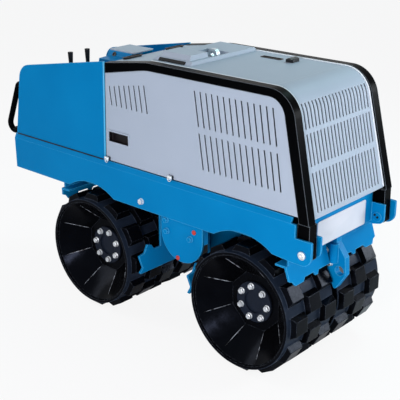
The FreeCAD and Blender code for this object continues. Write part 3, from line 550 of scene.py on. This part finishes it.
# Plugs: moulded polyethylene, domed and waxy, faintly clouded.
plug_plastic = grained_finish("moulded_polyethylene", 0.004, "#A8241F", "#C2382C",
                              {"Roughness": 0.45, "IOR": 1.5}, detail=1.0)
disc(24, 0.0105, 0.003)
inset(0.0015, (0, 0, 0.0012))
inset(0.0030, (0, 0, 0.0006))
plug = settle("plug", plug_plastic)
copies(plug, [facing(x, sign * guard_face, z, (0, sign, 0)) for sign in SIDES.values()
              for x, z in ((0.256, 0.399), (0.352, 0.543))],
       "hole_plugs", "chassis")


# ---- front panel -----------------------------------------------------------
# A blue steel panel under the grille, between two cheeks that hold the hood's
# pins.  A blank pale plate is glued to it, and a screwed cap covers each pin.

dress(blue_coat, "front_panel")


def block(size, place=(0, 0, 0), turn=(0, 0, 0)):
    """A block at its place and turned about its middle, open for editing."""
    bpy.ops.mesh.primitive_cube_add(size=1, location=place, rotation=turn)
    bpy.context.object.scale = size
    bpy.ops.object.transform_apply(location=False, rotation=False, scale=True)
    bpy.ops.object.mode_set(mode="EDIT")


# Plate: enamelled aluminium, matt and faintly grey, with a cloudy tone that
# changes over 90 mm.
plate_enamel = grained_finish("pale_plate_enamel", 0.090, "#C3C6D0", "#D0D2D9",
                              {"Roughness": 0.5, "IOR": 1.5, "Specular IOR Level": 0.3})
PANEL_FACE = 0.889
block((0.0022, 0.340, 0.108), (PANEL_FACE + 0.0010, 0, 0.642))
round_edges(lambda middle, along: abs(along.x) > 0.001, 0.008, 4)
pick(lambda middle, normal: normal.x > 0.9)
inset(0.0015, (0.0006, 0, 0))
settle("front_plate", plate_enamel, "chassis")

# Cap: a pressed disc over the pin's inner end, with two small screws.
low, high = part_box("hood_pins")
pin = (low + high) / 2
CAP_FACE = 0.222                  # where the cap sits, from the middle
disc(32, 0.021, 0.0025)
inset(0.003, (0, 0, 0.0008))
pin_cap = settle("pin_cap", blue_coat)
copies(pin_cap, [facing(pin.x, sign * CAP_FACE, pin.z, (0, -sign, 0))
                 for sign in SIDES.values()], "pin_caps", "chassis")

# Pin head: turned, with a centre dimple.
disc(32, 0.0135, 0.004)
inset(0.0015, (0, 0, 0.0010))
inset(0.0070)
draw_out((0, 0, -0.0035))
pin_head = settle("pin_head", zinc)
copies(pin_head, [facing(pin.x, sign * (high.y - 0.001), pin.z, (0, sign, 0))
                  for sign in SIDES.values()], "pin_heads", "chassis")

# Screws: blackened socket heads 9 mm across, blotchy where the oxide is thin.
black_steel = grained_finish("blackened_steel", 0.004, "#141518", "#2A2C30",
                             {"Roughness": 0.4, "Metallic": 0.6})
disc(20, 0.0045, 0.004)
inset(0.0018)
draw_out((0, 0, -0.002))
cap_screw = settle("cap_screw", black_steel)
copies(cap_screw, [facing(pin.x + ahead, sign * (CAP_FACE - 0.0032), pin.z + above, (0, -sign, 0))
                   for sign in SIDES.values()
                   for ahead, above in ((-0.009, 0.008), (0.004, -0.001))],
       "pin_cap_screws", "chassis")


# ---- scrapers and tow lug --------------------------------------------------
# Flame-cut blue plates that clean the drums, and the thick lug under the panel,
# held by two zinc-plated bolts.

dress(blue_coat, "front_scraper", "rear_scraper", "inner_scrapers", "tow_lug")
LUG_FACE = -0.015
copies(flange_bolt, [facing(x, LUG_FACE, z, (0, -1, 0), x)
                     for x, z in ((0.829, 0.513), (0.853, 0.462))],
       "lug_bolts", "chassis")


# ---- rear box and control deck ---------------------------------------------
# Folded blue sheet.  The sides' front edges are rolled into a bead, rubber
# gaskets seal their feet, and the back has a cover on two hinges, shut by a
# black turn latch.

dress(blue_coat, "rear_box_side_right", "rear_box_side_left", "rear_box_back", "control_deck",
      "bulkhead")


def rod(vertices, radius, length, rounding, place, turn):
    """A rod with rounded ends, turned about its middle, open for editing."""
    bpy.ops.mesh.primitive_cylinder_add(vertices=vertices, radius=radius, depth=length,
                                        location=place, rotation=turn)
    bpy.ops.object.mode_set(mode="EDIT")
    pick(lambda middle, normal: abs(normal.z) > 0.9)
    bpy.ops.mesh.bevel(offset=rounding, segments=2, affect="EDGES")


# Bead enamel: a paler blue all over, a painted highlight of the light the rolled edge catches,
# and paler still at its own edges.
bead_highlight_coat = powder_coat("bead_painted_highlight_enamel", "#3FA9D8", "#56B8E2", "#9BDCF4", 0.30, 0.2)
BOX_LEAN = 0.01655 / 0.497        # how far a side leans in for each metre up
for side, sign in SIDES.items():
    low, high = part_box("rear_box_side_" + side)
    foot = high.y if sign > 0 else low.y
    rise = high.z - low.z - 0.004
    rod(20, 0.0042, rise, 0.0015,
        (high.x - 0.0020, foot - sign * (BOX_LEAN * rise / 2 + 0.0025), low.z + rise / 2 + 0.002),
        (math.atan(BOX_LEAN) * sign, 0, 0))
    settle("box_edge_bead_" + side, bead_highlight_coat, "chassis", 60)

# Gasket: a black cord in the corner between each side's foot and the skirt.
# Its rubber is moulded and matt, with a grain 3 mm across, coarser than real.
rubber = grained_finish("moulded_rubber", 0.003, "#07080A", "#131418",
                        {"Roughness": 0.65, "IOR": 1.5, "Specular IOR Level": 0.25}, relief=0.3)
for side, sign in SIDES.items():
    low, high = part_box("rear_box_side_" + side)
    foot = high.y if sign > 0 else low.y
    rod(16, 0.0026, high.x - low.x - 0.020, 0.0010,
        ((low.x + high.x) / 2, foot + sign * 0.0022, low.z + 0.0016), (0, math.pi / 2, 0))
    settle("box_gasket_" + side, rubber, "chassis", 60)

# The cover on the back: a blue sheet with a turned edge.  It leans as the back
# does.
BACK_LEAN = 0.029 / 0.270
BACK_FOOT = (-0.832, 0.731)       # the back's outer face, where it meets the cross plate
COVER_MIDDLE, COVER_DEPTH = 0.868, 0.0045
COVER_SUNK = 0.0005


def back_face(z):
    return BACK_FOOT[0] + (z - BACK_FOOT[1]) * BACK_LEAN


block((COVER_DEPTH, 0.400, 0.176),
      (back_face(COVER_MIDDLE) + COVER_SUNK - COVER_DEPTH / 2, 0, COVER_MIDDLE),
      (0, math.atan(BACK_LEAN), 0))
round_edges(lambda middle, along: abs(along.x) > 0.003, 0.014, 4)
pick(lambda middle, normal: normal.x < -0.9)
inset(0.004, (-0.0012, 0, 0))
inset(0.012, (0.0015, 0, 0))
settle("back_cover", blue_coat, "chassis")

# Hinge: a rolled knuckle 58 mm long on a flat leaf.
HINGE_LENGTH = 0.058
block((HINGE_LENGTH, 0.044, 0.002), (0, 0, 0.001))
round_edges(lambda middle, along: abs(along.z) > 0.0015, 0.004, 3)
pick(top_face)
inset(0.0006, (0, 0, 0.0003))
bpy.ops.mesh.primitive_cylinder_add(vertices=20, radius=0.0050, depth=HINGE_LENGTH,
                                    location=(0, 0, 0.004), rotation=(0, math.pi / 2, 0))
pick(lambda middle, normal: abs(normal.x) > 0.9 and middle.z > 0.001)
inset(0.0012)
hinge = settle("hinge", blue_coat)
HINGE_HEIGHT = 0.958
outward = Vector((-1, 0, BACK_LEAN))
copies(hinge, [facing(back_face(HINGE_HEIGHT) - 0.0035, y, HINGE_HEIGHT, outward, math.pi / 2)
               for y in (-0.13, 0.13)], "back_hinges", "chassis")

# Turn latch: a round black escutcheon with a finger bar across it.
LATCH_HEIGHT = 0.808
disc(32, 0.018, 0.004)
inset(0.0025, (0, 0, 0.0015))
inset(0.0060)
bpy.ops.transform.resize(value=(0.45, 1.25, 1))
draw_out((0, 0, 0.006), (0.7, 0.9, 1))
turn_latch = settle("turn_latch", black_steel)
copies(turn_latch, [facing(back_face(LATCH_HEIGHT) - 0.0040, 0, LATCH_HEIGHT, outward)],
       "back_turn_latch", "chassis")


# ---- console ---------------------------------------------------------------
# The instrument console on the deck, folded from the same blue sheet, with a
# pale lid over its gauges, a socket in its near face and three knobs behind.

dress(blue_coat, "control_console")

# Silver lacquer: a metallic topcoat, whose flakes give a soft, pale sheen.
silver_coat = powder_coat("silver_lacquer", "#9CA9B8", "#A6B2C1", "#C4CFDA", 0.45, 0.12)
dress(silver_coat, "console_lid")

# Socket: a turned black ring with a dark well in it.
disc(32, 0.0115, 0.003)
inset(0.0012, (0, 0, 0.0008))
inset(0.0035)
draw_out((0, 0, -0.0030))
socket_ring = settle("socket_ring", black_steel)
copies(socket_ring, [facing(-0.321, -0.0908, 1.176, (0, -1, 0.45))], "console_socket", "chassis")

# Knobs: turned, black, 26 mm across, with a grip bar, each set a little round.
disc(36, 0.013, 0.010)
inset(0.0015, (0, 0, 0.0010))
inset(0.0030)
draw_out((0, 0, 0.005), (0.55, 1.0, 1))
knob = settle("knob", black_steel)
console_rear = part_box("control_console")[0].x
KNOB_PITCH = 0.045
copies(knob, [facing(console_rear, y, 1.150, (-1, 0, 0), 0.5 * y / KNOB_PITCH)
              for y in (-0.020 - KNOB_PITCH, -0.020, -0.020 + KNOB_PITCH)],
       "console_knobs", "chassis")


# ---- drive levers ----------------------------------------------------------
# Two steel levers with moulded rubber grips.  Each comes up through a gate in
# the deck, which a folded rubber boot closes.

dress(rubber, "drive_levers")

# The boot: a cone of three folds, 26 mm tall.  Each step narrows it by a width
# and lifts it.
disc(32, 0.026, 0.004)
for width, rise in ((0.004, 0.004), (-0.001, 0.002), (0.005, 0.005), (-0.001, 0.002),
                    (0.004, 0.006), (0.004, 0.003)):
    corners = bmesh.from_edit_mesh(bpy.context.object.data).verts
    radius = max(corner.co.xy.length for corner in corners if corner.select)
    draw_out((0, 0, rise), (1 - width / radius, 1 - width / radius, 1))
boot = settle("lever_boot", rubber)

STEM = (-0.679, 0.054)            # a lever's stem: along the machine, from its middle
SHEET = 0.006                     # the deck's thickness, as its box has it
low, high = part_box("control_deck")
climb = (high.z - low.z - SHEET) / (high.x - low.x)
deck_top = low.z + SHEET + (STEM[0] - low.x) * climb
copies(boot, [facing(STEM[0], sign * STEM[1], deck_top - 0.001, (-climb, 0, 1))
              for sign in SIDES.values()], "lever_boots", "chassis")


# ---- rear handle -----------------------------------------------------------
# A bent steel tube in black powder coat, welded to the box's back and to the
# cross plate.

# Black coat: its pale grey edges are partly thin coat and partly a painted highlight along the
# bars.
black_coat = powder_coat("black_powder_coat", "#020203", "#050607", "#7C858E", 0.26, 0.012)
dress(black_coat, "rear_handle")


# ---- engine, lifting frame and hood pins -----------------------------------
# A grey painted engine, and a welded steel frame behind it, blasted and sprayed
# with zinc, that carries the machine by its eye.  The hood turns on two
# zinc-plated pins.

engine_paint = powder_coat("grey_engine_paint", "#2A2C30", "#3A3D42", "#60646A", 0.55, 0.3)
dress(engine_paint, "engine_block")

# Sprayed zinc: grey and dull, with a rough grain 4 mm across.
sprayed_zinc = grained_finish("sprayed_zinc", 0.004, "#9AA6AE", "#C4CED4",
                              {"Roughness": 0.42, "Metallic": 0.85}, relief=0.2, rounding=0.002)
dress(sprayed_zinc, "lifting_frame")
dress(zinc, "hood_pins")


# ---- hood guards -----------------------------------------------------------
# Two bars of folded steel plate, bent round the hood's front, welded, and
# coated black.

dress(black_coat, "hood_guard_right", "hood_guard_left")


# ---- hood sides ------------------------------------------------------------
# Punched silver sheets that lean inwards.  Acoustic foam is glued behind the
# slots, and a black cup behind a framed window holds the hand that opens them.

dress(silver_coat, "hood_side_right", "hood_side_left")

# Foam: open cells 6 mm across, coarser than real ones, that swallow light.
foam, tree = new_finish("open_cell_foam")
place = add_node(tree, "ShaderNodeTexCoord")
cells = add_node(tree, "ShaderNodeTexVoronoi", (), {
    "Vector": place.outputs["Object"], "Scale": 1 / 0.006})
colour = add_node(tree, "ShaderNodeMix", {"data_type": "RGBA"}, {
    0: cells.outputs["Distance"], 6: linear("#0C0E12"), 7: linear("#1B1E23")})
rough = add_node(tree, "ShaderNodeBump", (), {
    "Height": cells.outputs["Distance"], "Strength": 0.5, "Distance": 0.003})
coat = add_node(tree, "ShaderNodeBsdfPrincipled", (), {
    "Base Color": colour.outputs[2], "Roughness": 0.9, "Normal": rough.outputs[0],
    "IOR": 1.5, "Specular IOR Level": 0.1})
add_node(tree, "ShaderNodeOutputMaterial", (), {"Surface": coat.outputs[0]})

SIDE_FOOT = (0.2935, 0.727)       # the guards' outer face: distance from the middle, height
SIDE_RISE = 0.0332                # how far it and the sides lean in for each metre up


def side_face(z, depth):
    """How far from the middle a point is that lies that deep inside the guards."""
    return SIDE_FOOT[0] - (z - SIDE_FOOT[1]) * SIDE_RISE - depth


def leaning(sign):
    return (math.atan(SIDE_RISE) * sign, 0, 0)


# Foam slabs: where each lies along the machine, and in height.
FOAM_DEPTH, FOAM_THICKNESS = 0.009, 0.012
for side, sign in SIDES.items():
    for name, (rear, front), (foot, top) in (("front_foam_", (0.325, 0.765), (0.815, 1.165)),
                                             ("rear_foam_", (-0.172, 0.070), (0.990, 1.130))):
        height = (foot + top) / 2
        block((front - rear, FOAM_THICKNESS, top - foot),
              ((rear + front) / 2, sign * side_face(height, FOAM_DEPTH + FOAM_THICKNESS / 2),
               height), leaning(sign))
        round_edges(lambda middle, along: abs(along.y) > FOAM_THICKNESS * 0.9, 0.012, 3)
        pick(lambda middle, normal: normal.y * sign > 0.9)
        inset(0.004, (0, sign * 0.001, 0))
        settle(name + side, foam, "hood")

# The cup: pressed from thin black plastic sheet, 22 mm deep, slightly clouded.
# Its frame stands 3 mm proud of the side.
cup_plastic = grained_finish("moulded_black_plastic", 0.030, "#0A0A0D", "#160D10",
                             {"Roughness": 0.4, "IOR": 1.5, "Specular IOR Level": 0.25})


def blank(length, width):
    """A flat sheet, open for editing and selected all over."""
    bpy.ops.mesh.primitive_plane_add(size=1)
    bpy.context.object.scale = (length, width, 1)
    bpy.ops.object.transform_apply(location=False, rotation=False, scale=True)
    bpy.ops.object.mode_set(mode="EDIT")
    pick(lambda middle, normal: True)


CUP_X, CUP_Z = -0.102, 0.8635     # the window's middle
CUP_LENGTH, CUP_HEIGHT, CUP_DEPTH = 0.126, 0.047, 0.022
CUP_LAP, FRAME_LAP = 0.006, 0.012     # what the cup and its frame add to the window
for side, sign in SIDES.items():
    block((CUP_LENGTH + CUP_LAP, CUP_DEPTH, CUP_HEIGHT + CUP_LAP),
          (CUP_X, sign * side_face(CUP_Z, 0.0175), CUP_Z), leaning(sign))
    pick(lambda middle, normal: normal.y * sign > 0.9)
    bpy.ops.mesh.delete(type="FACE")
    round_edges(lambda middle, along: middle.y * sign < -0.008, 0.006, 3)
    bpy.ops.mesh.select_all(action="SELECT")
    bpy.ops.mesh.normals_make_consistent(inside=False)
    bpy.ops.object.mode_set(mode="OBJECT")
    wall = bpy.context.object.modifiers.new("wall", "SOLIDIFY")
    wall.thickness = 0.0015
    wall.offset = 1
    bpy.ops.object.modifier_apply(modifier="wall")
    settle("grip_cup_" + side, cup_plastic, "hood")

    blank(CUP_LENGTH + FRAME_LAP, CUP_HEIGHT + FRAME_LAP)
    bpy.ops.mesh.inset(thickness=0.0065)
    bpy.ops.mesh.delete(type="FACE")
    bpy.ops.mesh.select_all(action="SELECT")
    bpy.ops.mesh.extrude_region_move(TRANSFORM_OT_translate={"value": (0, 0, 0.003)})
    pick(top_face)
    inset(0.0012, (0, 0, 0.0008))
    bpy.ops.object.mode_set(mode="OBJECT")
    bpy.context.object.rotation_euler = (math.atan(SIDE_RISE) - sign * math.pi / 2, 0, 0)
    bpy.context.object.location = (CUP_X, sign * side_face(CUP_Z, 0.0030), CUP_Z)
    settle("grip_frame_" + side, silver_coat, "hood")


# ---- hood latches ----------------------------------------------------------
# Blackened catches, with zinc-plated draw latches over the side ones: a base, a
# loop and a lever that snaps over.

dress(black_steel, "hood_latches")
block((0.026, 0.018, 0.004), (0, 0, 0.002))
round_edges(lambda middle, along: abs(along.z) > 0.003, 0.004, 3)
pick(top_face)
inset(0.0035)
draw_out((0, -0.001, 0.005), (0.8, 0.7, 1))
bpy.ops.mesh.primitive_torus_add(major_segments=20, minor_segments=8, major_radius=0.0085,
                                 minor_radius=0.0016, location=(0, -0.008, 0.0045))
draw_latch = settle("draw_latch", zinc)
latch_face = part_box("hood_latches")[1].y
copies(draw_latch, [facing(x, sign * latch_face, 0.760, (0, sign, 0), sign * math.pi / 2)
                    for sign in SIDES.values() for x in (-0.169, 0.221)],
       "draw_latches", "hood")


# ---- hood roof -------------------------------------------------------------
# Silver sheet, pressed up into a cover over the lifting eye.  Near-white
# strips along the guards are a painted highlight of its cut edges, and a
# blackened grip and a catch are set in it.

dress(silver_coat, "hood_roof", "hood_bulge")
roof_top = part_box("hood_roof")[1].z

# A black rubber strip along the foot of the cover's right side, over the slot,
# laid on the cover's slope: painted shade, a dark sheet for the shadow in the slot.
block((0.150, 0.004, 0.015), (0.1445, -0.1948, 1.2278), (-math.pi / 4, 0, 0))
round_edges(lambda middle, along: along.xz.length < 0.001, 0.003, 3)
pick(lambda middle, normal: normal.y < -0.9)
inset(0.001, (0, -0.0005, 0.0005))
settle("slot_shade_strip", rubber, "hood")

# Slot trims: moulded rims round the roof's slots, on black trays.  Each has its
# middle, length and width.
SLOTS = {"roof_grip_trim": (0.403, 0.147, 0.098, 0.018),
         "rear_slot_trim_right": (-0.157, -0.134, 0.024, 0.092),
         "rear_slot_trim_left": (-0.157, 0.134, 0.024, 0.092)}
ROOF_BREAK = 0.040                # behind this the roof falls towards the box
ROOF_FALL = 0.035 / 0.280
for name, (x, y, length, width) in SLOTS.items():
    falling = x < ROOF_BREAK
    blank(length + 0.012, width + 0.012)
    bpy.ops.mesh.select_mode(type="VERT")
    bpy.ops.mesh.bevel(offset=0.008, segments=4, affect="VERTICES")
    pick(lambda middle, normal: True)
    bpy.ops.mesh.extrude_region_move(TRANSFORM_OT_translate={"value": (0, 0, 0.0022)})
    inset(0.0020, (0, 0, 0.0010))
    inset(0.0040)
    draw_out((0, 0, -0.0100))
    bpy.ops.object.mode_set(mode="OBJECT")
    bpy.context.object.location = (
        x, y, roof_top - 0.0006 - (ROOF_BREAK - x) * ROOF_FALL * falling)
    bpy.context.object.rotation_euler = (0, -math.atan(ROOF_FALL) * falling, 0)
    settle(name, cup_plastic, "hood")

# The catch's lever: a black bar across its block.
block((0.030, 0.060, 0.003), (0.512, 0.146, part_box("hood_latches")[1].z + 0.0015))
round_edges(lambda middle, along: abs(along.z) > 0.002, 0.005, 3)
pick(top_face)
inset(0.003)
draw_out((0, 0, 0.004), (0.45, 0.9, 1))
settle("roof_catch_lever", black_steel, "hood")

# Edge strips: near-white tubes 8 mm thick, a painted highlight of the sheet's
# lit edge, along both guards from the grille's foot, round the bend and back
# along the roof.
highlight_strip_coat = powder_coat("painted_highlight_strip_lacquer", "#DCE4EC", "#E8EEF4", "#FAFCFF", 0.30, 0.3)
GRILLE_FOOT = (0.924, 0.738)
GRILLE_LEAN = 0.2217              # how far the grille leans back for each metre up
BEND, BEND_RADIUS = (0.7223, 1.103), 0.118
STRIP_DEPTH = 0.048               # how deep inside the guards the strips lie
route = [(GRILLE_FOOT[0] - (z - GRILLE_FOOT[1]) * GRILLE_LEAN, z) for z in (0.742, 0.930, 1.1285)]
start = math.atan2(route[-1][1] - BEND[1], route[-1][0] - BEND[0])
for k in range(1, 9):
    angle = start + (math.pi / 2 - start) * k / 8
    route.append((BEND[0] + BEND_RADIUS * math.cos(angle),
                  BEND[1] + BEND_RADIUS * math.sin(angle)))
route += [(x, roof_top) for x in (0.60, 0.30, 0.06)]
for side, sign in SIDES.items():
    points = [Vector((x, sign * side_face(z, STRIP_DEPTH), z)) for x, z in route]
    bpy.ops.mesh.primitive_plane_add(size=1, location=points[0])
    bpy.ops.object.mode_set(mode="EDIT")
    bpy.ops.mesh.select_mode(type="VERT")
    bpy.ops.mesh.merge(type="CENTER")
    for near, far in zip(points, points[1:]):
        bpy.ops.mesh.extrude_vertices_move(TRANSFORM_OT_translate={"value": far - near})
    bpy.ops.object.mode_set(mode="OBJECT")
    bpy.ops.object.convert(target="CURVE")
    strip = bpy.context.object.data
    strip.bevel_depth = 0.0040
    strip.bevel_resolution = 2
    strip.use_fill_caps = True
    bpy.ops.object.convert(target="MESH")
    settle("edge_strip_" + side, highlight_strip_coat, "hood", 60)


# ---- grille ----------------------------------------------------------------
# The roof's sheet runs on down the front as a punched grille.  The radiator's
# core stands behind it, bent back at its top.

dress(silver_coat, "hood_grille")

# Core: black painted fins 5 mm apart, coarser than real ones.  A wave's scale
# of 0.314 repeats once a metre.
core_paint, tree = new_finish("finned_core_paint")
place = add_node(tree, "ShaderNodeTexCoord")
fins = add_node(tree, "ShaderNodeTexWave", {"bands_direction": "Z"}, {
    "Vector": place.outputs["Object"], "Scale": 0.314 / 0.005})
colour = add_node(tree, "ShaderNodeMix", {"data_type": "RGBA"}, {
    0: fins.outputs[0], 6: linear("#08090B"), 7: linear("#1A1C20")})
rough = add_node(tree, "ShaderNodeBump", (), {
    "Height": fins.outputs[0], "Strength": 0.4, "Distance": 0.002})
coat = add_node(tree, "ShaderNodeBsdfPrincipled", (), {
    "Base Color": colour.outputs[2], "Roughness": 0.8, "Normal": rough.outputs[0],
    "IOR": 1.5, "Specular IOR Level": 0.1})
add_node(tree, "ShaderNodeOutputMaterial", (), {"Surface": coat.outputs[0]})
block((0.012, 0.470, 0.012), (0.902, 0, 0.746))
pick(top_face)
draw_out((-0.080, 0, 0.359), (1, 0.975, 1))
draw_out((-0.034, 0, 0.065), (1, 0.975, 1))
settle("radiator_core", core_paint, "hood", 10)


# ---- masters ---------------------------------------------------------------
# The masters go, so that only their copies are left.

for master in masters:
    bpy.data.objects.remove(master)
